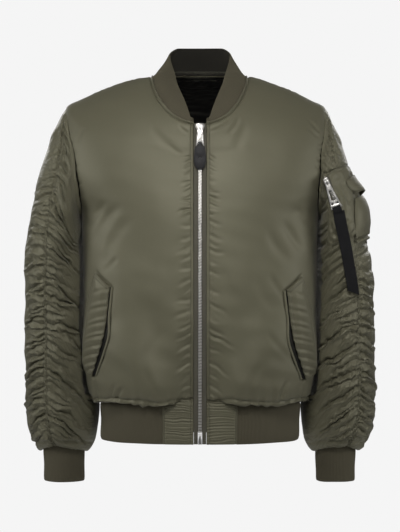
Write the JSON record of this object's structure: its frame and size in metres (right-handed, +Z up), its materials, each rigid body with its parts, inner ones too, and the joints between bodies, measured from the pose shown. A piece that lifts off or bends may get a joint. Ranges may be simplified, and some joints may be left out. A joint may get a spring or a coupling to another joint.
{
  "type": "bomber jacket",
  "caption": "Zipped, padded bomber jacket filled out as worn: gathered two-piece sleeves, rib collar, cuffs and waistband, slanted hand pockets and a zipped sleeve pocket.",
  "frame": {"origin": "midway between the two points where the collar meets the shoulder line, on which the jacket hangs when worn", "axes": "+X towards the wearer's left, -Y out of the front, +Z up"},
  "size_m": [0.6305, 0.2724, 0.7891],
  "materials": {
    "nylon": "satin nylon twill, olive",
    "rib_knit": "rib knit, dark olive",
    "lining": "black lining, slightly shiny",
    "zip_tape": "woven tape",
    "ribbon": "woven black ribbon",
    "leather": "smooth dark grey",
    "zip_metal": "polished silver"
  },
  "bodies": {
    "jacket": {"back": "nylon", "collar": "rib_knit", "cuff_left": "rib_knit", "cuff_right": "rib_knit", "front_left": "nylon", "front_right": "nylon", "hem_tab_left": "nylon", "hem_tab_right": "nylon", "lining_back": "lining", "pen_flap": "nylon", "pen_pocket": "nylon", "pocket_flap_left": "nylon", "pocket_flap_right": "nylon", "sleeve_left_back": "nylon", "sleeve_left_front": "nylon", "sleeve_pocket": "nylon", "sleeve_right_back": "nylon", "sleeve_right_front": "nylon", "sleeve_zip": "zip_tape", "sleeve_zip_slider": "zip_metal", "waistband": "rib_knit", "zip_box": "zip_metal", "zip_chain": "zip_metal", "zip_slider": "zip_metal", "zip_tape_left": "zip_tape", "zip_tape_right": "zip_tape"},
    "front_pull": {"zip_pull": "zip_metal", "zip_tag": "leather"},
    "arm_pull": {"sleeve_pull": "zip_metal", "sleeve_ribbon": "ribbon"}
  },
  "joints": [
    {"name": "front_pull_swing", "type": "hinge", "parent": "jacket", "child": "front_pull", "pos_m": [0, -0.11501, -0.10307], "axis": [-1, 0, 0], "range_deg": [0, 165]},
    {"name": "arm_pull_swing", "type": "hinge", "parent": "jacket", "child": "arm_pull", "pos_m": [0.22153, -0.08614, -0.19597], "axis": [-0.9336, 0.0341, -0.3568], "range_deg": [0, 120]}
  ]
}
